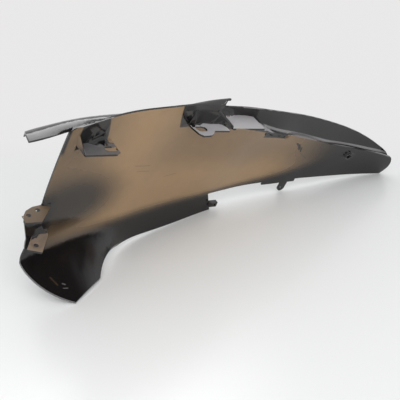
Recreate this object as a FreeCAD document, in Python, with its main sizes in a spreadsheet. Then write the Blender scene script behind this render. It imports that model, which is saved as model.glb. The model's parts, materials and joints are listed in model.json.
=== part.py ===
import FreeCAD, Part
import os
from FreeCAD import Vector

# Right-hand rear side panel of a scooter, moulded in one piece of black plastic.
# It is drawn as it sits on the scooter (x to the rear, y outboard, z up, millimetres),
# then leaned over into the pose in which it stands by itself on a table.

doc = FreeCAD.newDocument("scooter_side_panel")
sheet = doc.addObject("Spreadsheet::Sheet", "Sizes")

# Guide lines of the skin. Each point is (along, outboard, up).
GUIDES = {
    # fold between the wall and its lower flange, and the wall's lower edge behind the flange
    "crease": {
        "toe": (-395, -3, -43), "front": (-345, 8, -19), "knee": (-282, 25, -15),
        "mid": (-211, 38, -13), "bay": (-144, 50, -6), "step": (-62, 57, 2),
        "hip": (0, 57, 17), "waist": (64, 50, 31), "flank": (136, 42, 41.5),
        "rear": (202, 35, 49), "tail": (270, 23, 59.5), "tip": (318, 8, 70.7),
    },
    # top edge of the wall
    "top": {
        "toe": (-395, -6, 160), "front": (-345, 3, 174), "knee": (-282, 12, 189),
        "mid": (-211, 16.5, 198), "bay": (-144, 17.5, 202), "step": (-62, 7, 190),
        "hip": (0, 25, 153), "waist": (64, 32, 140.5), "flank": (136, 32.5, 127.5),
        "rear": (202, 25, 120.5), "tail": (270, 8, 118.5), "tip": (318, -10, 106),
    },
    # inboard edge of the lower flange, which turns into the floor of the front leg
    "foot": {
        "toe": (-395, -98, -66), "front": (-345, -90, -52), "knee": (-282, -58, -43),
        "mid": (-211, 19, -43), "bay": (-144, 37, -40), "step": (-62, 48, -28),
        "hip": (0, 54, -18), "waist": (64, 50, -4), "flank": (136, 43, 8),
        "rear": (202, 36, 25), "tail": (270, 24, 42), "tip": (318, 9, 58),
    },
    # shoulder hood that runs outboard from the wall's top edge, front part of the panel
    "brow": {
        "beak": (-408, -3, 160), "lead": (-380, -2, 166), "eave": (-345, 5, 173),
        "arch": (-282, 14.5, 184), "ridge": (-211, 19.5, 191), "rise": (-144, 21.5, 193),
        "close": (-96, 20.5, 193),
    },
    "crown": {
        "beak": (-408, 8, 162), "lead": (-380, 10, 168), "eave": (-345, 15, 175.5),
        "arch": (-282, 23, 182), "ridge": (-211, 28, 186.5), "rise": (-144, 32, 188.5),
        "close": (-96, 33, 192),
    },
    "brim": {
        "beak": (-408, 18, 157), "lead": (-380, 23, 162.5), "eave": (-345, 28, 169),
        "arch": (-282, 36, 172), "ridge": (-211, 42, 176), "rise": (-144, 47, 188),
        "close": (-96, 48.6, 195),
    },
    "lip": {
        "beak": (-408, 24, 149), "lead": (-380, 31, 151), "eave": (-345, 36, 156),
        "arch": (-282, 44, 158), "ridge": (-211, 49, 159), "rise": (-144, 51.5, 158),
        "close": (-96, 51.5, 155),
    },
    # rear fin that stands outboard of the wall: its base on the ledge, and its rim
    "base": {
        "start": (-114, 48.5, 167), "dip": (-84, 48.5, 166), "edge": (-38, 45, 160),
        "neck": (0, 36, 151.5), "hump": (50, 38.5, 143), "fall": (148, 37, 125.5),
        "drop": (215, 29, 119.5), "sink": (266, 15, 115), "point": (318, -1, 96),
    },
    "rim": {
        "start": (-114, 48, 184), "dip": (-84, 47.5, 181.5), "edge": (-33, 42.5, 182),
        "neck": (0, 42, 180), "hump": (51, 43, 175), "fall": (148, 41, 161),
        "drop": (215, 33, 148), "sink": (266, 20, 133), "point": (318, -7, 108),
    },
}

# Corners of outlines, each (along, up) in the side view.
SIDE_POINTS = {
    "front_top": (-355, 170), "front_low": (-359, 57), "ear_top": (-364, 45), "ear_brow": (-383, 43),
    "ear_nose": (-380, 38), "ear_waist": (-370, 4), "ear_chin": (-368.5, -13),
    "toe_back": (-373, -23), "toe_tip": (-376, -34),
    "peak_end": (-133, 190), "notch_left": (-20, 147.5), "notch_right": (43, 135),
    "flange_low": (-28, -24), "flange_top": (-42, 8),
    "tail_start": (282, 128), "tail_bend": (303, 113), "tail_end": (316, 88),
    "tail_low": (315, 60),
}

# Corners of outlines, each (along, outboard) in plan.
PLAN_POINTS = {
    "leg_front": (-376, 3), "leg_bow": (-358, -39), "leg_corner": (-320.5, -70),
    "leg_heel": (-272, -40), "arch_mid": (-243, -1), "arch_end": (-192, 27),
    "beak_near": (-400, -14), "beak_nose": (-402.5, 4), "beak_far": (-376, 44),
    "hood_end_near": (-142, 16), "hood_end_far": (-103, 46),
    "slot_tab_front": (-337, -13.5), "slot_tab_rear": (-293, -13.5), "slot_tab_corner": (-289, -10.5),
    "ring_tab_front": (-172, 18), "ring_tab_left": (-168.5, 3), "ring_tab_near": (-163.5, -2),
    "ring_tab_end": (-150, -1), "ring_tab_right": (-144, 2.5), "ring_tab_bay": (-137.5, 9.5),
    "ring_tab_rear": (-110.5, 9.5),
    "ear_tab_brow": (-383, 1), "ear_tab_tip": (-388.5, -7), "ear_tab_chin": (-391, -15),
    "ear_tab_nose": (-390, -19.5), "ear_tab_heel": (-370, -20.5),
    "ear_tab_neck": (-350, 4),
    "screw_tab_front": (-377, -16), "screw_tab_rear": (-360, -24), "screw_tab_neck": (-341, 5),
}

SIZES = {
    "wall": 2.8, "belly": 0.03, "fold_foot": 0.25, "fold_wall": 0.05, "skirt_drop": 13, "skirt_out": 1,
    "fin_bulge": 1, "ledge_sink": 0.6, "flange_back": 20,
    # plate on the ledge, bead beside it, recess behind it
    "plate_left": -99, "plate_right": -39, "plate_near": 15, "plate_up": 167, "ledge_end": 300,
    "bead_wide": 4.6, "notch_step": 4, "notch_deep": 24,
    # slotted tab under the shoulder, with its two gussets
    "tab_thick": 2.5, "slot_tab_up": 149, "slot_along": -298, "slot_out": -2, "slot_long": 17,
    "slot_wide": 9, "gusset_high": 17, "gusset_lean": 6, "gusset_mid": -304,
    "gusset_mid_near": 3, "web_thick": 2.2,
    # ring tab
    "ring_tab_up": 167, "ring_along": -158, "ring_out": 14, "ring_long": 18, "ring_wide": 12,
    "ring_web_along": -169, "ring_web_near": 17.5, "ring_web_high": 27,
    # two tabs on the front ear
    "ear_tab_up": 57, "ear_tab_thick": 3, "ear_root_front": -373, "ear_root_rear": -346,
    "pin_hole_wide": 6, "pin_rear_along": -368, "pin_rear_out": 0.5, "pin_front_along": -382,
    "pin_front_out": -7.5,
    "screw_tab_up": 8, "screw_root_front": -362, "screw_root_rear": -339, "screw_along": -362.5,
    "screw_out": -9.5, "screw_hole_wide": 6.5, "screw_seat_wide": 13, "screw_seat_deep": 1.2,
    # strip and lug on the lower edge
    "strip_front": 64, "strip_rear": 132, "strip_drop": 6,
    "lug_along": 111, "lug_out": 46.4, "lug_up": 20, "lug_wide": 14, "lug_hole_wide": 5,
    # eyelet at the flange end, peg near the tail
    "eyelet_along": -25, "eyelet_out": 52, "eyelet_up": -10, "eyelet_wide": 9,
    "eyelet_deep": 7, "eyelet_root": 6, "eyelet_hole_wide": 4,
    "peg_along": 216, "peg_up": 103, "peg_wide": 15, "peg_reach": 4, "peg_hole_wide": 8,
    "peg_hole_deep": 5,
    # lean of the free-standing panel, in degrees
    "lean_roll": 19.4, "lean_pitch": 12,
}

FAR = 600
WALL_STATIONS = 15
HOOD_STATIONS = 8
FIN_STATIONS = 11
# how far the hood and the recess bite into the wall, as shares of its thickness
HOOD_BITE = 0.65
RECESS_BITE = 0.8
# heights on the wall, as shares of it, at which its section is drawn
WALL_SHARES = (0.15, 0.4, 0.7)


def fill_sheet():
    """Write every driving dimension to the sheet, one alias to a cell."""
    cells = dict(SIZES)
    for guide, stations in GUIDES.items():
        for station, (along, outboard, up) in stations.items():
            cells[f"{guide}_{station}_along"] = along
            cells[f"{guide}_{station}_out"] = outboard
            cells[f"{guide}_{station}_up"] = up
    for corner, (along, up) in SIDE_POINTS.items():
        cells[f"{corner}_along"] = along
        cells[f"{corner}_up"] = up
    for corner, (along, outboard) in PLAN_POINTS.items():
        cells[f"{corner}_along"] = along
        cells[f"{corner}_out"] = outboard
    for row, (alias, value) in enumerate(cells.items(), start=1):
        sheet.set(f"A{row}", alias)
        sheet.set(f"B{row}", str(value))
        sheet.setAlias(f"B{row}", alias)
    doc.recompute()


def size(alias):
    return float(sheet.get(alias))


def side(corner):
    """A corner of a side-view outline, on a plane well inboard of the panel."""
    return Vector(size(f"{corner}_along"), -FAR, size(f"{corner}_up"))


def beside(along, up):
    return Vector(along, -FAR, up)


def plan(corner, up):
    """A corner of a plan outline, at a height."""
    return Vector(size(f"{corner}_along"), size(f"{corner}_out"), up)


def spread(first, last, count):
    return [first + (last - first) * i / (count - 1) for i in range(count)]


def lines(points):
    return [Part.LineSegment(a, b).toShape() for a, b in zip(points, points[1:])]


def curve(points):
    through = Part.BSplineCurve()
    through.interpolate(points)
    return through


def solid(name, shape):
    """A document object that holds a shape worked out from the sheet."""
    feature = doc.addObject("Part::Feature", name)
    feature.Shape = shape
    return feature


def prism(name, edges, reach):
    """Solid swept from a flat closed outline of lines, arcs and curves."""
    face = Part.Face(Part.Wire(Part.__sortEdges__(edges)))
    return solid(name, face.extrude(reach))


def boolean(kind, name, base_body, tool):
    feature = doc.addObject(kind, name)
    feature.Base = base_body
    feature.Tool = tool
    return feature


def cut(name, base_body, tool):
    return boolean("Part::Cut", name, base_body, tool)


def fuse(name, shapes):
    feature = doc.addObject("Part::MultiFuse", name)
    feature.Shapes = shapes
    return feature


def bore(name, wide, along, outboard, up, direction, length):
    """A round cutter centred on a point, with its size and place tied to the sheet."""
    cylinder = doc.addObject("Part::Cylinder", name)
    cylinder.setExpression("Radius", f"Sizes.{wide} / 2")
    cylinder.Height = length
    turn = FreeCAD.Rotation(Vector(0, 0, 1), direction)
    cylinder.Placement = FreeCAD.Placement(Vector(), turn)
    back = direction * (length / 2)
    for axis, alias, shift in (("x", along, back.x), ("y", outboard, back.y), ("z", up, back.z)):
        cylinder.setExpression(f"Placement.Base.{axis}", f"Sizes.{alias} - {shift}")
    return cylinder


class Guide:
    """A smooth line along the panel, which can be asked for its point at any x."""

    def __init__(self, name):
        self.points = [
            Vector(size(f"{name}_{s}_along"), size(f"{name}_{s}_out"), size(f"{name}_{s}_up"))
            for s in GUIDES[name]
        ]
        self.line = curve(self.points)

    def at(self, along):
        low = self.line.FirstParameter
        high = self.line.LastParameter
        for _ in range(50):
            middle = 0.5 * (low + high)
            if self.line.value(middle).x < along:
                low = middle
            else:
                high = middle
        point = self.line.value(middle)
        return Vector(along, point.y, point.z)


def even_spacing(sections):
    """Where along a section each of its points lies, as a share, on average over all sections."""
    count = len(sections[0])
    lengths = []
    for i in range(1, count):
        lengths.append(sum((s[i] - s[i - 1]).Length for s in sections))
    shares = [0.0]
    for length in lengths:
        shares.append(shares[-1] + length / sum(lengths))
    return shares


def strip_wire(points, shares):
    """Closed wire of a thin strip: the line through the points, and the line beside it."""
    inner = Part.BSplineCurve()
    inner.interpolate(Points=points, Parameters=shares)
    moved = []
    for point, share in zip(points, shares):
        tangent = inner.tangent(share)[0]
        moved.append(point + Vector(0, tangent.z, -tangent.y) * wall)
    outer = Part.BSplineCurve()
    outer.interpolate(Points=moved, Parameters=shares)
    edges = [inner.toShape(), outer.toShape()]
    edges += lines([points[-1], moved[-1]]) + lines([moved[0], points[0]])
    return Part.Wire(Part.__sortEdges__(edges))


def strip_loft(name, line, first, last, count):
    sections = [line(along) for along in spread(first, last, count)]
    shares = even_spacing(sections)
    wires = [strip_wire(points, shares) for points in sections]
    return solid(name, Part.makeLoft(wires, True, False))


fill_sheet()
crease = Guide("crease")
top = Guide("top")
foot = Guide("foot")
brow = Guide("brow")
crown = Guide("crown")
brim = Guide("brim")
lip = Guide("lip")
base = Guide("base")
rim = Guide("rim")
wall = size("wall")
ACROSS = Vector(0, 2 * FAR, 0)
UP = Vector(0, 0, 1)
OUT = Vector(0, 1, 0)


def wall_point(along, share):
    """Point of the wall's inner face, at a share of the way from the fold to the top edge."""
    low = crease.at(along)
    high = top.at(along)
    bulge = 4 * size("belly") * (high - low).Length * share * (1 - share)
    return low + (high - low) * share + OUT * bulge


def wall_at(along, up):
    low = crease.at(along).z
    return wall_point(along, (up - low) / (top.at(along).z - low))


def root(along, up):
    """Point in the middle of the wall's thickness, where tabs are rooted."""
    return wall_at(along, up) + OUT * (wall / 2)


def wall_line(along):
    """Inner face of the wall in section: flange, rounded fold, bulging wall."""
    low = crease.at(along)
    edge = foot.at(along)
    near_foot = low + (edge - low) * size("fold_foot")
    near_wall = wall_point(along, size("fold_wall"))
    corner = (low * 2 + near_wall + near_foot) * 0.25
    bulging = [wall_point(along, share) for share in WALL_SHARES]
    return [edge, (edge + near_foot) * 0.5, near_foot, corner, near_wall] + bulging + [top.at(along)]


def hood_line(along):
    start = brow.at(along)
    start.y = max(start.y, wall_at(along, start.z).y + HOOD_BITE * wall)
    return [start, crown.at(along), brim.at(along), lip.at(along)]


def fin_line(along):
    low = base.at(along)
    high = rim.at(along)
    skirt = low + Vector(0, size("skirt_out"), -size("skirt_drop"))
    skirt.y = max(skirt.y, root(along, skirt.z).y)
    return [skirt, low, (low + high) * 0.5 + OUT * size("fin_bulge"), high]


def ledge_height(along):
    return min(top.at(along).z, base.at(along).z) - size("ledge_sink")


def ledge_section(along):
    near = root(along, ledge_height(along))
    far = Vector(along, base.at(along).y + wall / 2, near.z)
    down = UP * -wall
    return Part.makePolygon([near, far, far + down, near + down, near])


def recess_line(along):
    """Wall behind the notch, set outboard of the main wall by most of its thickness."""
    high = ledge_height(along) - wall / 2
    return [wall_at(along, up) + OUT * (wall * RECESS_BITE)
            for up in spread(high - size("notch_deep"), high, 3)]


skin = strip_loft("skin", wall_line, crease.points[0].x, crease.points[-1].x, WALL_STATIONS)
hood = strip_loft("hood", hood_line, brow.points[0].x, brow.points[-1].x, HOOD_STATIONS)
fin = strip_loft("fin", fin_line, base.points[0].x, base.points[-1].x, FIN_STATIONS)
ledge_from = size("plate_right") - wall
ledge_wires = [ledge_section(x) for x in spread(ledge_from, size("ledge_end"), FIN_STATIONS)]
ledge = solid("ledge", Part.makeLoft(ledge_wires, True, False))
notch_end = size("notch_right_along") + size("notch_step")
recess = strip_loft("recess", recess_line, ledge_from + wall, notch_end + 2 * wall, 5)


def front_cut():
    """Air in front of the wall, above the floor of the leg."""
    corners = ["front_top", "front_low", "ear_top", "ear_brow", "ear_nose", "ear_waist", "ear_chin",
               "toe_back", "toe_tip"]
    points = [side(corner) for corner in corners]
    first = points[0]
    last = points[-1]
    points += [beside(-FAR, last.z), beside(-FAR, FAR), beside(first.x, FAR), first]
    return prism("front_cut", lines(points), ACROSS)


def top_cut():
    """Air above the wall between the end of its peak and the notch in its rear part."""
    peak = side("peak_end")
    plate = size("plate_up")
    points = [
        beside(peak.x, FAR), peak, beside(size("plate_left"), plate),
        beside(size("plate_right"), plate), side("notch_left"), side("notch_right"),
        beside(notch_end, top.at(notch_end).z), beside(notch_end, FAR), beside(peak.x, FAR),
    ]
    return prism("top_cut", lines(points), ACROSS)


def low_cut():
    """Air under the wall's lower edge behind the flange, leaving its strip and lug."""
    flange_low = side("flange_low")
    flange_top = side("flange_top")
    drop = UP * size("strip_drop")
    half = size("lug_wide") / 2
    lug = size("lug_along")
    strip_front = size("strip_front")
    strip_rear = size("strip_rear")
    front = [beside(x, crease.at(x).z) for x in spread(flange_low.x + size("flange_back"), strip_front, 4)]
    rear = [beside(x, crease.at(x).z) for x in spread(strip_rear, crease.points[-1].x, 6)]
    lug_low = beside(lug, size("lug_up") - half)
    lug_front = beside(lug - half, size("lug_up"))
    lug_rear = beside(lug + half, size("lug_up"))
    front_root = beside(lug - half, crease.at(lug - half).z) - drop
    rear_root = beside(lug + half, crease.at(lug + half).z) - drop
    deep = beside(flange_low.x, -FAR)
    outline = lines([deep, flange_low, flange_top, front[0]])
    outline.append(curve(front).toShape())
    outline += lines([front[-1], front[-1] - drop, front_root, lug_front])
    outline.append(Part.Arc(lug_front, lug_low, lug_rear).toShape())
    outline += lines([lug_rear, rear_root, rear[0] - drop, rear[0]])
    outline.append(curve(rear).toShape())
    outline += lines([rear[-1], beside(FAR, rear[-1].z), beside(FAR, -FAR), deep])
    return prism("low_cut", outline, ACROSS)


def leg_cut():
    """Air round the floor of the leg: bowed front edge, straight end, round arch behind."""
    high = side("ear_chin").z
    front = plan("leg_front", high)
    corner = plan("leg_corner", high)
    heel = plan("leg_heel", high)
    end = plan("arch_end", high)
    outline = [Part.Arc(front, plan("leg_bow", high), corner).toShape()]
    outline += lines([corner, heel])
    outline.append(Part.Arc(heel, plan("arch_mid", high), end).toShape())
    outline += lines([end, Vector(end.x, -FAR, high), Vector(-FAR, -FAR, high),
                      Vector(-FAR, front.y, high), front])
    return prism("leg_cut", outline, UP * -FAR)


def tail_cut():
    """Air behind the rounded tail end."""
    start = side("tail_start")
    low = side("tail_low")
    outline = [curve([start, side("tail_bend"), side("tail_end"), low]).toShape()]
    outline += lines([low, beside(low.x, -FAR), beside(FAR, -FAR), beside(FAR, FAR),
                      beside(start.x, FAR), start])
    return prism("tail_cut", outline, ACROSS)


def beak_cut():
    """Air in front of the rounded beak of the hood."""
    near = plan("beak_near", 0)
    far = plan("beak_far", 0)
    outline = [Part.Arc(near, plan("beak_nose", 0), far).toShape()]
    outline += lines([far, Vector(-FAR, far.y, 0), Vector(-FAR, near.y, 0), near])
    return prism("beak_cut", outline, UP * FAR)


def hood_end_cut():
    """Air behind the slanting rear end of the hood."""
    near = plan("hood_end_near", 0)
    far = plan("hood_end_far", 0)
    points = [Vector(near.x, -FAR, 0), near, far, Vector(FAR, far.y, 0), Vector(FAR, -FAR, 0)]
    return prism("hood_end_cut", lines(points + points[:1]), UP * FAR)


wall_cuts = fuse("wall_cuts", [front_cut(), top_cut(), low_cut(), leg_cut()])
hood_cuts = fuse("hood_cuts", [beak_cut(), hood_end_cut()])
trimmed_skin = cut("trimmed_skin", skin, wall_cuts)
trimmed_hood = cut("trimmed_hood", hood, hood_cuts)


def tab(name, corners, root_front, root_rear, level, thick):
    """Flat tab: its free edge runs through the corners, its root follows the wall."""
    up = size(level)
    points = [plan(corner, up) for corner in corners]
    points += [root(x, up) for x in spread(root_rear, root_front, 4)]
    return prism(name, lines(points + points[:1]), UP * -size(thick))


def slot_cutter(name, level):
    """Upright slot with round ends, its long side along the panel."""
    half = (size(f"{name}_long") - size(f"{name}_wide")) / 2
    radius = size(f"{name}_wide") / 2
    low = size(level) - 5 * size("tab_thick")
    middle = Vector(size(f"{name}_along"), size(f"{name}_out"), low)
    left = middle - Vector(half, 0, 0)
    right = middle + Vector(half, 0, 0)
    beside_step = OUT * radius
    end_step = Vector(radius, 0, 0)
    edges = lines([left - beside_step, right - beside_step])
    edges += lines([right + beside_step, left + beside_step])
    edges.append(Part.Arc(right - beside_step, right + end_step, right + beside_step).toShape())
    edges.append(Part.Arc(left + beside_step, left - end_step, left - beside_step).toShape())
    return prism(f"{name}_cut", edges, UP * (10 * size("tab_thick")))


def gusset(name, near, low_along, high_along, high):
    """Upright three-cornered web that ties a tab to the wall."""
    points = [near, root(low_along, near.z), root(high_along, high)]
    return prism(name, lines(points + points[:1]), Vector(size("web_thick"), 0, 0))


def slotted_tab():
    front = size("slot_tab_front_along")
    plate = tab("slot_tab_plate", ["slot_tab_front", "slot_tab_rear", "slot_tab_corner"],
                front, size("slot_tab_corner_along"), "slot_tab_up", "tab_thick")
    level = size("slot_tab_up") - size("tab_thick") / 2
    high = size("slot_tab_up") + size("gusset_high")
    lean = size("gusset_lean")
    end = gusset("end_gusset", plan("slot_tab_front", level), front - lean / 2, front - lean, high)
    middle_along = size("gusset_mid")
    near = Vector(middle_along, size("gusset_mid_near"), level)
    middle = gusset("middle_gusset", near, middle_along, middle_along, high - size("tab_thick"))
    return [cut("slot_tab", plate, slot_cutter("slot", "slot_tab_up")), end, middle]


def ring_tab():
    corners = ["ring_tab_front", "ring_tab_left", "ring_tab_near", "ring_tab_end",
               "ring_tab_right", "ring_tab_bay", "ring_tab_rear"]
    plate = tab("ring_tab_plate", corners, size("ring_tab_front_along"),
                size("ring_tab_rear_along"), "ring_tab_up", "tab_thick")
    level = size("ring_tab_up") - size("tab_thick") / 2
    web_along = size("ring_web_along")
    web_near = Vector(web_along, size("ring_web_near"), level)
    web = gusset("ring_web", web_near, web_along, web_along, level + size("ring_web_high"))
    return [cut("ring_tab", plate, slot_cutter("ring", "ring_tab_up")), web]


def ledge_plate():
    """Flat plate between the wall and the fin, beside the end of the wall's peak."""
    up = size("plate_up")
    left = size("plate_left")
    right = size("plate_right")
    near = size("plate_near")
    points = [Vector(left, near, up), Vector(right, near, up)]
    points += [Vector(x, base.at(x).y + wall / 2, up) for x in spread(right, left, 5)]
    return prism("ledge_plate", lines(points + points[:1]), UP * -wall)


def bead():
    """Round bead along the slanting end of the wall's peak, down to the plate."""
    start = root(size("peak_end_along"), size("peak_end_up"))
    end = root(size("plate_left"), size("plate_up"))
    along = (end - start).normalize()
    overlap = along * size("bead_wide")
    length = (end - start).Length + 2 * size("bead_wide")
    return solid("bead", Part.makeCylinder(size("bead_wide") / 2, length, start - overlap, along))


def ear_tab():
    """Flat tab on top of the wall's front ear, with two small holes."""
    corners = ["ear_tab_brow", "ear_tab_tip", "ear_tab_chin", "ear_tab_nose", "ear_tab_heel", "ear_tab_neck"]
    plate = tab("ear_tab_plate", corners, size("ear_root_front"), size("ear_root_rear"),
                "ear_tab_up", "ear_tab_thick")
    through = 6 * size("ear_tab_thick")
    rear = bore("pin_rear", "pin_hole_wide", "pin_rear_along", "pin_rear_out", "ear_tab_up",
                UP, through)
    front = bore("pin_front", "pin_hole_wide", "pin_front_along", "pin_front_out", "ear_tab_up",
                 UP, through)
    return cut("ear_tab", plate, fuse("pin_holes", [rear, front]))


def screw_tab():
    """Tab below the ear tab, with a sunk seat round its screw hole."""
    plate = tab("screw_tab_plate", ["screw_tab_front", "screw_tab_rear", "screw_tab_neck"],
                size("screw_root_front"), size("screw_root_rear"), "screw_tab_up", "ear_tab_thick")
    hole = bore("screw_hole", "screw_hole_wide", "screw_along", "screw_out", "screw_tab_up",
                UP, 6 * size("ear_tab_thick"))
    seat = bore("screw_seat", "screw_seat_wide", "screw_along", "screw_out", "screw_tab_up",
                UP, 2 * size("screw_seat_deep"))
    return cut("screw_tab", plate, fuse("screw_cuts", [hole, seat]))


def eyelet():
    """Small pierced block that sticks out of the flange end."""
    block = doc.addObject("Part::Box", "eyelet_block")
    block.setExpression("Length", "Sizes.eyelet_wide + Sizes.eyelet_root")
    block.setExpression("Width", "Sizes.eyelet_deep")
    block.setExpression("Height", "Sizes.eyelet_wide")
    block.setExpression("Placement.Base.x",
                        "Sizes.eyelet_along - Sizes.eyelet_wide / 2 - Sizes.eyelet_root")
    block.setExpression("Placement.Base.y", "Sizes.eyelet_out - Sizes.eyelet_deep / 2")
    block.setExpression("Placement.Base.z", "Sizes.eyelet_up - Sizes.eyelet_wide / 2")
    hole = bore("eyelet_hole", "eyelet_hole_wide", "eyelet_along", "eyelet_out", "eyelet_up",
                OUT, 4 * size("eyelet_deep"))
    return cut("eyelet", block, hole)


def peg():
    """Round peg on the wall's inner face, hollow at its end."""
    along = size("peg_along")
    up = size("peg_up")
    seat = root(along, up)
    inward = (root(along + 1, up) - seat).cross(root(along, up + 1) - seat).normalize()
    length = size("peg_reach") + wall / 2
    end = seat + inward * length
    post = solid("peg_post", Part.makeCylinder(size("peg_wide") / 2, length, seat, inward))
    hollow = solid("peg_hollow", Part.makeCylinder(size("peg_hole_wide") / 2,
                                                   size("peg_hole_deep"), end, inward * -1))
    return post, hollow


post, hollow = peg()
pieces = [trimmed_skin, trimmed_hood, fin, ledge, recess, ledge_plate(), bead(), ear_tab(),
          screw_tab(), eyelet(), post]
pieces += slotted_tab() + ring_tab()
blank = fuse("panel_blank", pieces)
lug_hole = bore("lug_hole", "lug_hole_wide", "lug_along", "lug_out", "lug_up",
                OUT, 4 * size("lug_wide"))
panel = cut("panel", blank, fuse("last_cuts", [tail_cut(), lug_hole, hollow]))
panel.Label = "side_panel"
doc.recompute()

# Lean the panel into its standing pose, with the middle of its box over the origin
roll = FreeCAD.Rotation(Vector(1, 0, 0), size("lean_roll"))
pitch = FreeCAD.Rotation(Vector(0, 1, 0), size("lean_pitch"))
lean = pitch.multiply(roll)
leaned = panel.Shape.copy()
leaned.Placement = FreeCAD.Placement(Vector(), lean)
points, facets = leaned.tessellate(0.1)
bounds = FreeCAD.BoundBox(points[0], points[0])
for point in points:
    bounds.add(point)
middle = Vector(bounds.Center.x, bounds.Center.y, bounds.ZMin)
panel.Placement = FreeCAD.Placement(middle * -1, lean)
doc.recompute()

for item in doc.Objects:
    if "Invalid" in item.State or "Error" in item.State:
        raise RuntimeError(f"{item.Name} failed: {item.State}")
    if hasattr(item, "Shape") and (item.Shape.isNull() or not item.Shape.isValid()):
        raise RuntimeError(f"{item.Name} has no sound shape")
if len(panel.Shape.Solids) != 1:
    raise RuntimeError("the panel came apart")
print("volume", round(panel.Shape.Volume), "place", panel.Placement)

os.makedirs("parts", exist_ok=True)
panel.Shape.exportStep("parts/side_panel.step")
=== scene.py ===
# %% [markdown]
# A scooter's rear side panel, standing on a white table with its inside to the
# camera. The real part looks like one injection moulding in gloss black plastic:
# a tall wall, a folded foot, a hood, a fin at the back, and a few tabs that hold
# it to the frame. Its inside has a bronze film, taken here for a mist of paint.
# The solid comes ready made from the CAD model, so this lesson is about its
# skin: smooth shading, one finish that changes over the surface, and the light.

# %% Load the CAD model
import json
import math

import bmesh
import bpy
from mathutils import Matrix, Vector


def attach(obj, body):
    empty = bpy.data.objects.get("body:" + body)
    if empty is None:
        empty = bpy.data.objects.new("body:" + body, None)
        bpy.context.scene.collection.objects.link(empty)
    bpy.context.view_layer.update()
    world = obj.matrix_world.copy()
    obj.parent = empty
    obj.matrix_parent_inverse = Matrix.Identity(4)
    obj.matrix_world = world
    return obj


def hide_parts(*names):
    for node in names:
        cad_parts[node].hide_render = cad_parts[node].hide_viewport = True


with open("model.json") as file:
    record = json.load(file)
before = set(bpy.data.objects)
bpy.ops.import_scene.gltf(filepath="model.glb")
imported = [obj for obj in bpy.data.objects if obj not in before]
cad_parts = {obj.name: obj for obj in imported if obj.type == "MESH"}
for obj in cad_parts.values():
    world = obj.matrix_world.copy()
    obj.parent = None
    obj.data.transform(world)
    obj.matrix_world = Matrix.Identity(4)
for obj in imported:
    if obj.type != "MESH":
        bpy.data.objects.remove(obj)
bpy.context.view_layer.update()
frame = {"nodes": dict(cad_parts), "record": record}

# %% [markdown]
# The panel leans as it stands here, but its finish is easiest to describe as it
# sits on the scooter: x to the rear, y outwards, z up. One could measure the lean
# by eye and turn a copy. It is surer to read it from the holes that the record
# describes: the screw hole's axis points up the scooter, and the lug hole's axis
# points inwards. The screw hole also tells where the zero is.

# %% The scooter's own axes
SCREW_HOLE_ON_SCOOTER = Vector((-0.3625, -0.0095, 0.0059))

holes = {mount["name"]: mount for mount in frame["record"]["mounts"]}
scooter_up = Vector(holes["screw_hole"]["axis"]).normalized()
scooter_out = -Vector(holes["lug_hole"]["axis"]).normalized()
scooter_rear = scooter_out.cross(scooter_up).normalized()
lean = Matrix((scooter_rear, scooter_out, scooter_up)).transposed()
scooter_zero = Vector(holes["screw_hole"]["pos_m"]) - lean @ SCREW_HOLE_ON_SCOOTER


def as_it_leans(direction):
    """A direction on the scooter, turned to how the panel leans here."""
    return (lean @ Vector(direction)).normalized()


print("lean in degrees:", [round(math.degrees(a), 2) for a in lean.to_euler()])
print("scooter's zero, as it leans:", [round(c, 4) for c in scooter_zero])

# %% [markdown]
# The CAD mesh is loose triangles, so it would shade as flat facets. A moulding
# is smooth where it bends and crisp at its edges. A Subdivision Surface would
# round the edges away, so a copy is merged instead, shaded smooth, and marked
# sharp wherever two faces meet at more than a set angle. Weighted normals then
# let the big faces decide the shading, so thin triangles beside an edge don't
# spoil a mirror image.

# %% One smooth skin for the panel
CREASE_ANGLE = math.radians(28)
SAME_POINT = 2e-6
BIG_FACE_WEIGHT = 90

skin = frame["nodes"]["side_panel"].data.copy()
skin.name = "panel_skin"
merged = bmesh.new()
merged.from_mesh(skin)
bmesh.ops.remove_doubles(merged, verts=merged.verts, dist=SAME_POINT)
merged.to_mesh(skin)
merged.free()
skin.shade_smooth()
skin.set_sharp_from_angle(angle=CREASE_ANGLE)
panel = bpy.data.objects.new("panel", skin)
bpy.context.scene.collection.objects.link(panel)
weigh = panel.modifiers.new("big faces decide", "WEIGHTED_NORMAL")
weigh.keep_sharp = True
weigh.weight = BIG_FACE_WEIGHT
graph = bpy.context.evaluated_depsgraph_get()
weighed = panel.evaluated_get(graph)
skin = bpy.data.meshes.new_from_object(weighed, preserve_all_data_layers=True, depsgraph=graph)
panel.modifiers.remove(weigh)
panel.data = skin
print("panel skin:", len(skin.vertices), "points,", len(skin.polygons), "faces")

# %% [markdown]
# The finish is one material, because the panel is one moulding. Painting a
# texture by hand would work, but it needs an image. Here the film's edge is
# worked out from where a point is on the scooter, so a few helpers come first:
# each adds one node and returns its output, and a finish then reads like a sum.
# The room's light uses the same helpers later.


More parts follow.
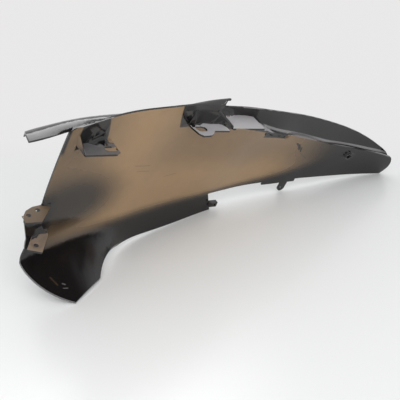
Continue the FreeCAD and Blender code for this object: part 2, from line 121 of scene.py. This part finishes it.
# %% Helpers that add nodes
class Nodes:
    """A tree of nodes, with one short call for each kind of step."""

    def __init__(self, tree):
        self.tree = tree

    def wire(self, socket, value):
        if isinstance(value, bpy.types.NodeSocket):
            self.tree.links.new(value, socket)
        else:
            socket.default_value = value

    def add(self, kind, **settings):
        node = self.tree.nodes.new(kind)
        for name, value in settings.items():
            setattr(node, name, value)
        return node

    def maths(self, operation, *values):
        node = self.add("ShaderNodeMath", operation=operation)
        for socket, value in zip(node.inputs, values):
            self.wire(socket, value)
        return node.outputs[0]

    def dot(self, first, second):
        node = self.add("ShaderNodeVectorMath", operation="DOT_PRODUCT")
        self.wire(node.inputs[0], first)
        self.wire(node.inputs[1], second)
        return node.outputs["Value"]

    def ramp(self, value, start, stop, low=0.0, high=1.0, curve="LINEAR"):
        """Goes from low to high as value goes from start to stop."""
        node = self.add("ShaderNodeMapRange", interpolation_type=curve)
        self.wire(node.inputs["Value"], value)
        for name, number in zip(("From Min", "From Max", "To Min", "To Max"), (start, stop, low, high)):
            self.wire(node.inputs[name], number)
        return node.outputs["Result"]

    def ease(self, value, start, stop):
        """0 at start, 1 at stop, with a soft ramp between."""
        return self.ramp(value, start, stop, curve="SMOOTHSTEP")


# %% [markdown]
# A mask is a number from 0 to 1 at each point of the surface. Masks are joined
# as cut paper is: either of two, both of two, or one without the other.


# %% Helpers that join masks
class Finish(Nodes):
    """One material, and the masks that decide its colour from place to place."""

    def __init__(self, name):
        self.material = bpy.data.materials.new(name)
        self.material.use_nodes = True
        super().__init__(self.material.node_tree)
        self.shader = self.tree.nodes["Principled BSDF"]

    def either(self, *masks):
        total = masks[0]
        for mask in masks[1:]:
            total = self.maths("MAXIMUM", total, mask)
        return total

    def both(self, *masks):
        total = masks[0]
        for mask in masks[1:]:
            total = self.maths("MULTIPLY", total, mask)
        return total

    def without(self, mask, hole):
        return self.maths("MULTIPLY", mask, self.maths("SUBTRACT", 1.0, hole))

    def mix(self, share, first, second):
        """A colour between two colours."""
        node = self.add("ShaderNodeMix", data_type="RGBA")
        self.wire(node.inputs["Factor"], share)
        self.wire(node.inputs[6], first)
        self.wire(node.inputs[7], second)
        return node.outputs[2]

    def blend(self, share, first, second):
        """A number between two numbers."""
        node = self.add("ShaderNodeMix", data_type="FLOAT")
        self.wire(node.inputs["Factor"], share)
        self.wire(node.inputs[2], first)
        self.wire(node.inputs[3], second)
        return node.outputs[0]

    def speckle(self, spot, scale, detail):
        node = self.add("ShaderNodeTexNoise")
        self.wire(node.inputs["Vector"], spot)
        self.wire(node.inputs["Scale"], scale)
        self.wire(node.inputs["Detail"], detail)
        return node.outputs["Fac"]


# %% [markdown]
# First the place of each point on the scooter. A Mapping node of the Texture
# kind undoes the lean and the shift, so the three numbers it gives are the
# scooter's own x, y and z in metres, however the panel leans.

# %% Where each point is on the scooter
plastic = Finish("gloss black plastic with bronze mist")
coordinates = plastic.add("ShaderNodeTexCoord")
on_scooter = plastic.add("ShaderNodeMapping", vector_type="TEXTURE")
plastic.wire(on_scooter.inputs["Vector"], coordinates.outputs["Object"])
plastic.wire(on_scooter.inputs["Location"], scooter_zero)
plastic.wire(on_scooter.inputs["Rotation"], lean.to_euler())
split = plastic.add("ShaderNodeSeparateXYZ")
plastic.wire(split.inputs[0], on_scooter.outputs[0])
along, outward, height = split.outputs
surface = plastic.add("ShaderNodeNewGeometry")


def facing(direction, start, stop):
    """1 where the surface looks that way on the scooter, 0 where it looks away."""
    return plastic.ease(plastic.dot(surface.outputs["Normal"], as_it_leans(direction)), start, stop)


print("finish:", plastic.material.name)

# %% [markdown]
# Paint mist settles only where the spray can reach. Here it comes from inside
# the scooter and a little from below, so it lies on faces that look inwards. The
# foot below the fold, the fin behind the plate and the hood's beak stay bare.
# Lines on the wall, given as (along, height), say where the mist ends.

# %% Where the mist settled
SPRAY_FROM = (0.0, -1.0, -0.45)
SPRAY_GRAZE = (0.05, 0.45)
FOLD = [(-0.345, -0.019), (-0.144, -0.006), (-0.062, 0.002), (0.064, 0.031)]
FOLD_SOFT = (-0.012, 0.019)
LEDGE = [(-0.030, 0.1575), (0.041, 0.144), (0.112, 0.1315), (0.150, 0.1254), (0.197, 0.122), (0.277, 0.119)]
LEDGE_CRISP = (-0.001, 0.001)
FIN_FROM = (-0.118, -0.115)
BEAK_ALONG = (-0.350, -0.354)
BEAK_UP = (0.130, 0.140)


def inner_side(start, stop, low, high):
    """0 at low and 1 at high, in metres to the left of the line from start to stop."""
    run, rise = stop[0] - start[0], stop[1] - start[1]
    length = math.hypot(run, rise)
    across = plastic.maths("MULTIPLY", plastic.maths("SUBTRACT", height, start[1]), run / length)
    down = plastic.maths("MULTIPLY", plastic.maths("SUBTRACT", along, start[0]), rise / length)
    return plastic.ease(plastic.maths("SUBTRACT", across, down), low, high)


def above(line, low, high):
    """0 at low and 1 at high above a line of several stretches that curves upwards."""
    return plastic.both(*[inner_side(a, b, low, high) for a, b in zip(line, line[1:])])


reached = facing(SPRAY_FROM, *SPRAY_GRAZE)
fin = plastic.both(above(LEDGE, *LEDGE_CRISP), plastic.ease(along, *FIN_FROM))
beak = plastic.both(plastic.ease(along, *BEAK_ALONG), plastic.ease(height, *BEAK_UP))
mist = plastic.both(reached, above(FOLD, *FOLD_SOFT))
mist = plastic.without(plastic.without(mist, fin), beak)
print("nodes up to the mist:", len(plastic.tree.nodes))

# %% [markdown]
# The bronze is not even. It fades to black towards the tail and along the tail's
# lower edge, it is darker near the front edge and high at the rear, and a soft
# patch low at the front is nearly black, with the corner below the ear almost
# free of mist.
# One noise texture could break it up, but these places are known, so each is a
# mask of its own.

# %% Where the bronze is darker
TAIL_EDGE = [(0.000, 0.021), (0.155, 0.079)]
TAIL_SOFT = (-0.013, 0.013)
TOWARDS_TAIL = (0.030, 0.190)
FRONT_EDGE = (-0.240, -0.350)
FRONT_DARKENED = 0.55
HIGH_UP = (0.055, 0.115)
HIGH_REARWARD = (-0.240, -0.150)
HIGH_DARKENED = 0.33
PATCH_CENTRE = (-0.310, 0.047)
PATCH_HALF = (0.066, 0.044)
PATCH_SOFT = 0.62
PATCH_DARKENED = 0.92
EAR_CORNER_ALONG = (-0.334, -0.348)
EAR_CORNER_UP = (0.080, 0.056)


def length_of(across, up):
    """The length of the slanted line with these two sides."""
    squares = plastic.maths("ADD", plastic.maths("POWER", across, 2.0), plastic.maths("POWER", up, 2.0))
    return plastic.maths("SQRT", squares)


def soft_patch(centre, half, edge):
    """1 inside an oval on the wall, 0 outside it, with a soft edge."""
    across = plastic.maths("DIVIDE", plastic.maths("SUBTRACT", along, centre[0]), half[0])
    up = plastic.maths("DIVIDE", plastic.maths("SUBTRACT", height, centre[1]), half[1])
    return plastic.ease(length_of(across, up), 1.0 + edge, 1.0 - edge)


# Each of these masks darkens the bronze towards black in one listed place.
mist = plastic.both(mist, above(TAIL_EDGE, *TAIL_SOFT))
towards_tail = plastic.ease(along, *TOWARDS_TAIL)
front_edge = plastic.both(plastic.ease(along, *FRONT_EDGE), FRONT_DARKENED)
high_rear = plastic.both(plastic.ease(height, *HIGH_UP), plastic.ease(along, *HIGH_REARWARD), HIGH_DARKENED)
dark_patch = plastic.both(soft_patch(PATCH_CENTRE, PATCH_HALF, PATCH_SOFT), PATCH_DARKENED)
under_ear = plastic.both(plastic.ease(along, *EAR_CORNER_ALONG), plastic.ease(height, *EAR_CORNER_UP))
darker_places = (towards_tail, front_edge, high_rear, dark_patch, under_ear)
for darker in darker_places:
    mist = plastic.without(mist, darker)
print("thin places:", len(darker_places))

# %% [markdown]
# A tab masks the wall behind it, as a hand does in front of a spray can, and
# leaves a bare, glossy shape with crisp sides. Each shape is a few straight
# sides on the wall: a point is inside when it is on the inner side of each.

# %% Bare shapes behind the tabs, and a black shape in the recess
CRISP = 0.0012
BEHIND_FRONT_TAB = (-0.339, 0.140), (-0.290, 0.140), (-0.296, 0.160), (-0.302, 0.200), (-0.339, 0.200)
BEHIND_RING_TAB = (-0.183, 0.160), (-0.094, 0.161), (-0.100, 0.215), (-0.203, 0.215), (-0.194, 0.186)
# The recess's inside is made black by one more shape of this kind.
IN_RECESS = (-0.019, 0.143), (0.040, 0.135), (0.042, 0.150), (-0.024, 0.162)


def straight_sided(corners):
    """The shape between corners that go round anticlockwise on the wall."""
    sides = zip(corners, corners[1:] + corners[:1])
    return plastic.both(*[inner_side(a, b, -CRISP, CRISP) for a, b in sides])


black_shapes = (BEHIND_FRONT_TAB, BEHIND_RING_TAB, IN_RECESS)
for corners in black_shapes:
    mist = plastic.without(mist, straight_sided(corners))
print("bare shapes:", len(black_shapes))

# %% [markdown]
# The panel has been handled. A broken, dark scar runs down the rear of the wall,
# a few hairlines cross it, and the foot has a streak and pale nicks. Each is
# a short stroke: the distance from a point to the nearest place on a line, with
# the mark close to the line. Strokes on the wall are given by (along, height),
# and those on the foot, which lies flatter, by (along, outward).

# %% Scar, hairlines, streak and nicks
SCAR = [
    ((0.078, 0.123), (0.083, 0.120), 0.0014),
    ((0.086, 0.119), (0.094, 0.110), 0.0024),
    ((0.097, 0.113), (0.101, 0.104), 0.0014),
]
HAIRLINES = [
    ((0.104, 0.100), (0.126, 0.088), 0.0007),
    ((-0.227, 0.094), (-0.199, 0.090), 0.0006),
    ((-0.219, 0.083), (-0.196, 0.079), 0.0005),
    ((-0.160, 0.062), (-0.139, 0.066), 0.0005),
]
STREAK = [((-0.343, -0.032), (-0.337, -0.043), 0.0013)]
NICKS = [((-0.330, -0.043), (-0.327, -0.0445), 0.0009), ((-0.331, -0.049), (-0.325, -0.050), 0.0006)]
FOOT_BELOW = (-0.020, -0.026)
STROKE_FADES = (1.6, 0.4)
HAIRLINE_SHARE = 0.45
STREAK_SHARE = 0.07
NICK_SHARE = 0.22


def stroke(start, stop, half_width, second):
    """1 on a short line, 0 away from it; second is the coordinate beside along."""
    run, rise = stop[0] - start[0], stop[1] - start[1]
    from_start = plastic.maths("SUBTRACT", along, start[0]), plastic.maths("SUBTRACT", second, start[1])
    forward = plastic.maths("MULTIPLY", from_start[0], run), plastic.maths("MULTIPLY", from_start[1], rise)
    share = plastic.maths("DIVIDE", plastic.maths("ADD", *forward), run * run + rise * rise)
    share = plastic.maths("MINIMUM", plastic.maths("MAXIMUM", share, 0.0), 1.0)
    gap_along = plastic.maths("SUBTRACT", from_start[0], plastic.maths("MULTIPLY", share, run))
    gap_second = plastic.maths("SUBTRACT", from_start[1], plastic.maths("MULTIPLY", share, rise))
    return plastic.ease(length_of(gap_along, gap_second), *[half_width * fade for fade in STROKE_FADES])


def strokes(marks, second):
    return plastic.either(*[stroke(*mark, second) for mark in marks])


on_foot = plastic.ease(height, *FOOT_BELOW)
hairlines = plastic.both(strokes(HAIRLINES, height), HAIRLINE_SHARE)
mist = plastic.without(plastic.without(mist, strokes(SCAR, height)), hairlines)
mist = plastic.either(mist, plastic.both(strokes(STREAK, outward), on_foot, STREAK_SHARE))
nicks = plastic.both(strokes(NICKS, outward), on_foot, NICK_SHARE)
print("strokes:", len(SCAR + HAIRLINES + STREAK + NICKS))

# %% [markdown]
# Not every top is glossy. The ear and the screw tab have a thin mist. The
# screw tab's top and the tabs under the hood get a pale grey painted into their
# colour, a painted reflection of the bright room, and the fin's rim, the narrow
# ledge at its root and the foot's front edge get it as painted highlights. A
# mirror image of something bright would look alike from one side only, so the
# reflection is painted instead. Tops are the faces that look up on the scooter,
# and their place along it tells one from another.

# %% Tops of the tabs
UP = (0.0, 0.0, 1.0)
NEARLY_LEVEL = (0.75, 0.92)
EAR_ALONG = (-0.400, -0.338)
EAR_UP = (-0.006, 0.062)
EAR_MIST = 0.30
SCREW_TAB_BELOW = (0.030, 0.025)
SCREW_TAB_MIST = 0.55
SCREW_TAB_PAINTED_SHEEN = 0.18
REAR_TABS_ALONG = (-0.200, 0.020)
REAR_TABS_UP = (0.150, 0.175)
FRONT_TAB_ALONG = (-0.345, -0.280)
FRONT_TAB_UP = (0.140, 0.160)
FRONT_TAB_PAINTED_SHEEN = 0.3


def between(value, low, high, edge=0.002):
    """1 where value lies from low to high, with a soft edge."""
    past_low = plastic.ease(value, low - edge, low + edge)
    return plastic.both(past_low, plastic.ease(value, high + edge, high - edge))


looks_up = facing(UP, *NEARLY_LEVEL)
ear_tops = plastic.both(looks_up, between(along, *EAR_ALONG), between(height, *EAR_UP))
mist = plastic.either(mist, plastic.both(ear_tops, EAR_MIST))
on_screw_tab = plastic.both(ear_tops, plastic.ease(height, *SCREW_TAB_BELOW))
mist = plastic.either(mist, plastic.both(on_screw_tab, SCREW_TAB_MIST))
# painted reflection: a little pale grey on the screw tab's top
screw_top = plastic.both(on_screw_tab, SCREW_TAB_PAINTED_SHEEN)
# painted reflection: pale grey on the tops of the tabs under the hood
rear_tops = plastic.both(looks_up, between(along, *REAR_TABS_ALONG), between(height, *REAR_TABS_UP))
front_tops = plastic.both(looks_up, between(along, *FRONT_TAB_ALONG), between(height, *FRONT_TAB_UP))
front_tops = plastic.both(front_tops, FRONT_TAB_PAINTED_SHEEN)
print("nodes up to the tabs:", len(plastic.tree.nodes))

# %% [markdown]
# The painted highlights on the edges are found in the same way: by the way
# they look, and by how far they are above the ledge or below the wall.

# %% Painted highlights on the ledge, the fin's rim and the foot's edge
LEDGE_FOOT = (-0.0015, 0.0005)
LEDGE_TOP = (0.0028, 0.0042)
LEDGE_FROM = (-0.020, -0.012)
LEDGE_LOOKS = (0.0, -1.0, 0.3)
LEDGE_TURNED = (0.0, 0.2)
LEDGE_PAINTED_HIGHLIGHT = 0.5
RIM_ABOVE = (0.010, 0.012)
RIM_FROM = (-0.080, -0.070)
RIM_PAINTED_HIGHLIGHT = 0.4
FOOT_EDGE_LOOKS = (-0.8, -0.6, 0.0)
FOOT_EDGE_TURNED = (0.75, 0.88)
FOOT_EDGE_BELOW = (-0.016, -0.026)
FOOT_EDGE_PAINTED_HIGHLIGHT = 0.33

# painted highlights: pale grey bands on the ledge, the fin's rim and the foot's front edge
ledge = plastic.without(above(LEDGE, *LEDGE_FOOT), above(LEDGE, *LEDGE_TOP))
ledge = plastic.both(ledge, plastic.ease(along, *LEDGE_FROM), facing(LEDGE_LOOKS, *LEDGE_TURNED), LEDGE_PAINTED_HIGHLIGHT)
rim = plastic.both(looks_up, above(LEDGE, *RIM_ABOVE), plastic.ease(along, *RIM_FROM), RIM_PAINTED_HIGHLIGHT)
foot_edge = facing(FOOT_EDGE_LOOKS, *FOOT_EDGE_TURNED)
foot_edge = plastic.both(foot_edge, plastic.ease(height, *FOOT_EDGE_BELOW), FOOT_EDGE_PAINTED_HIGHLIGHT)
# the painted sheen and highlights, joined with the pale nicks, which are real wear
painted_sheen_and_nicks = plastic.either(rear_tops, front_tops, screw_top, ledge, rim, foot_edge, nicks)
print("nodes up to the pale edges:", len(plastic.tree.nodes))

# %% [markdown]
# The colour is a blend from bare black to bronze, and the pale grey of the
# painted sheen and highlights, and of the nicks, goes over it. The mist dries
# satin, so the same masks drive the roughness. A little noise keeps the edge of
# the mist from looking like a drawn line.

# %% Colour and gloss of the panel
BARE_BLACK = (0.0075, 0.0062, 0.0062, 1.0)
BRONZE = (0.345, 0.220, 0.114, 1.0)
PAINTED_SHEEN_AND_NICK_GREY = (0.38, 0.37, 0.38, 1.0)
SPECKLE_SCALE = 60.0
SPECKLE_DETAIL = 3.0
SPECKLE_LOW = 0.88
SPECKLE_SPAN = 0.24
GLOSSY = 0.14
SATIN = 0.42
DULL = 0.75
SHEEN = 0.65

uneven = plastic.speckle(on_scooter.outputs[0], SPECKLE_SCALE, SPECKLE_DETAIL)
uneven = plastic.maths("ADD", SPECKLE_LOW, plastic.maths("MULTIPLY", uneven, SPECKLE_SPAN))
mist = plastic.maths("MINIMUM", plastic.maths("MULTIPLY", mist, uneven), 1.0)
# pale grey of the painted sheen and highlights, and of the nicks, over the mist
colour = plastic.mix(painted_sheen_and_nicks, plastic.mix(mist, BARE_BLACK, BRONZE), PAINTED_SHEEN_AND_NICK_GREY)
plastic.wire(plastic.shader.inputs["Base Color"], colour)
roughness = plastic.blend(plastic.either(mist, painted_sheen_and_nicks), GLOSSY, SATIN)
plastic.wire(plastic.shader.inputs["Roughness"], plastic.blend(ear_tops, roughness, DULL))
plastic.wire(plastic.shader.inputs["Specular IOR Level"], SHEEN)
skin.materials.clear()
skin.materials.append(plastic.material)
print("nodes in the finish:", len(plastic.tree.nodes))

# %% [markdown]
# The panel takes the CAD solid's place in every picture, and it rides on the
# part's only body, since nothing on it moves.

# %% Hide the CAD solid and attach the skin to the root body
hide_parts("side_panel")
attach(panel, "root")
print("the skin stands for side_panel")

# %% [markdown]
# The table is white and slightly glossy, so the panel has a soft shadow and a
# faint mirror image. A table with a wall behind it would show a hard corner from
# other sides. Its far edge is only a change of tone, so the floor is one wide
# sheet in two tones.

# %% White table and backdrop
FLOOR_HALF = 6.0
TABLE_EDGE = Vector((0.111, 0.239, 0.0))
EDGE_SOFT = (-0.06, 0.12)
VIEW_YAW = math.radians(37.05)
TABLE_WHITE = (0.80, 0.81, 0.81, 1.0)
TABLE_GLOSS = 0.3
BACKDROP_WHITE = (0.82, 0.81, 0.815, 1.0)

table_top = bpy.data.meshes.new("table")
floor_corners = [(x * FLOOR_HALF, y * FLOOR_HALF, 0.0) for x, y in [(-1, -1), (1, -1), (1, 1), (-1, 1)]]
table_top.from_pydata(floor_corners, [], [(0, 1, 2, 3)])
table = bpy.data.objects.new("table", table_top)
bpy.context.scene.collection.objects.link(table)
white = Finish("white table")
spot = white.add("ShaderNodeTexCoord").outputs["Object"]
away = Vector((math.sin(VIEW_YAW), math.cos(VIEW_YAW), 0.0))
edge = TABLE_EDGE.dot(away)
beyond = white.ease(white.dot(spot, away), *[edge + soft for soft in EDGE_SOFT])
white.wire(white.shader.inputs["Base Color"], TABLE_WHITE)
white.wire(white.shader.inputs["Roughness"], TABLE_GLOSS)
glow = white.add("ShaderNodeEmission")
white.wire(glow.inputs["Color"], BACKDROP_WHITE)
join = white.add("ShaderNodeMixShader")
for socket, value in zip(join.inputs, (beyond, white.shader.outputs[0], glow.outputs[0])):
    white.wire(socket, value)
white.wire(white.tree.nodes["Material Output"].inputs["Surface"], join.outputs[0])
table_top.materials.append(white.material)
print("table's far edge, metres away from the panel's middle:", round(edge, 3))

# %% [markdown]
# The light is a plain white room. One bright lamp would throw a hard shadow, so
# an even sky does most of the work. Gloss black shows only what it mirrors, and
# the room above the camera is dim in mirror images, which keeps the foot black.

# %% The white room
ROOM_LIGHT = 0.80
ROOM_SEEN = 0.82
ROOM_DIM = 0.03
DIM_TOWARDS_CAMERA = (0.42, 0.22)
DIM_UPWARDS = (0.2, 0.45)

world = bpy.data.worlds.new("white room")
bpy.context.scene.world = world
world.use_nodes = True
room = Nodes(world.node_tree)
rays = room.add("ShaderNodeLightPath")
from_camera = rays.outputs["Is Camera Ray"]
from_gloss = rays.outputs["Is Glossy Ray"]
gaze = room.add("ShaderNodeTexCoord").outputs["Generated"]
towards_camera = room.ramp(room.dot(gaze, away), *DIM_TOWARDS_CAMERA)
upwards = room.ramp(room.dot(gaze, UP), *DIM_UPWARDS)
over_camera = room.maths("MULTIPLY", towards_camera, upwards)
mirrored = room.ramp(over_camera, 0.0, 1.0, ROOM_SEEN, ROOM_DIM)
in_mirror = room.maths("MULTIPLY", from_gloss, mirrored)
in_camera = room.maths("MULTIPLY", from_camera, ROOM_SEEN)
seen = room.maths("MAXIMUM", from_camera, from_gloss)
unseen = room.ramp(seen, 0.0, 1.0, ROOM_LIGHT, 0.0)
strength = room.maths("ADD", room.maths("ADD", in_mirror, in_camera), unseen)
sky = room.tree.nodes["Background"]
room.wire(sky.inputs["Color"], (1.0, 1.0, 1.0, 1.0))
room.wire(sky.inputs["Strength"], strength)
print("nodes in the room's light:", len(room.tree.nodes))

# %% [markdown]
# A big soft box over the camera does the rest, so the shadow falls behind the
# panel and stays pale. Two white sheets overhead make the sheen on the hood's
# roof, and the one over the tail is shorter, which leaves the rim behind the roof
# dark. The box isn't mirrored, and the sheets count for mirror images alone.

# %% Soft box and sheets
BOX_BRIGHT = 1.55
SHEET_BRIGHT = 3.9


def soft_box(name, stands, looks_at, size, bright):
    """An oblong lamp in the room, which the camera doesn't see; bright 1 would look white."""
    lamp = bpy.data.lights.new(name, "AREA")
    lamp.shape = "RECTANGLE"
    lamp.size, lamp.size_y = size
    lamp.energy = bright * math.pi * lamp.size * lamp.size_y
    box = bpy.data.objects.new(name, lamp)
    bpy.context.scene.collection.objects.link(box)
    box.location = stands
    box.rotation_euler = (Vector(stands) - Vector(looks_at)).to_track_quat("Z", "Y").to_euler()
    box.visible_camera = False
    return box


over_the_camera = soft_box(
    "box over the camera", (-0.9, -1.3, 1.35), (0.0, 0.0, 0.1), (2.4, 2.0), BOX_BRIGHT
)
over_the_camera.visible_glossy = False
over_front = soft_box(
    "sheet over the front", (-0.135, 0.36, 1.0), (-0.135, 0.36, 0.0), (0.63, 1.08), SHEET_BRIGHT
)
over_tail = soft_box(
    "sheet over the tail", (0.34, 0.625, 1.0), (0.34, 0.625, 0.0), (0.32, 0.65), SHEET_BRIGHT
)
for overhead in (over_front, over_tail):
    overhead.visible_diffuse = False
print("lamps:", [box.name for box in (over_the_camera, over_front, over_tail)])

# %% [markdown]
# The camera stands where the photograph was taken from: about a metre off, to
# the front and the inside of the panel, looking down at it. A Track To constraint
# would aim it, but the roll is known too, so three turns place it exactly.

# %% Camera at the photograph's angle
CAMERA_PLACE = Vector((-0.55578, -0.64524, 0.45996))
VIEW_DOWN = math.radians(26.38)
VIEW_ROLL = math.radians(0.39)
SENSOR = 36.0
LENS_PER_FRAME = 1.5

eye = bpy.data.cameras.new("camera")
eye.sensor_width = SENSOR
eye.lens = SENSOR * LENS_PER_FRAME
camera = bpy.data.objects.new("camera", eye)
bpy.context.scene.collection.objects.link(camera)
turn = Matrix.Rotation(-VIEW_YAW, 4, "Z") @ Matrix.Rotation(math.pi / 2 - VIEW_DOWN, 4, "X")
camera.matrix_world = Matrix.Translation(CAMERA_PLACE) @ turn @ Matrix.Rotation(VIEW_ROLL, 4, "Z")
bpy.context.scene.camera = camera
bpy.context.scene.view_settings.view_transform = "Standard"
print("camera from the panel's middle, metres:", round(CAMERA_PLACE.length, 3))
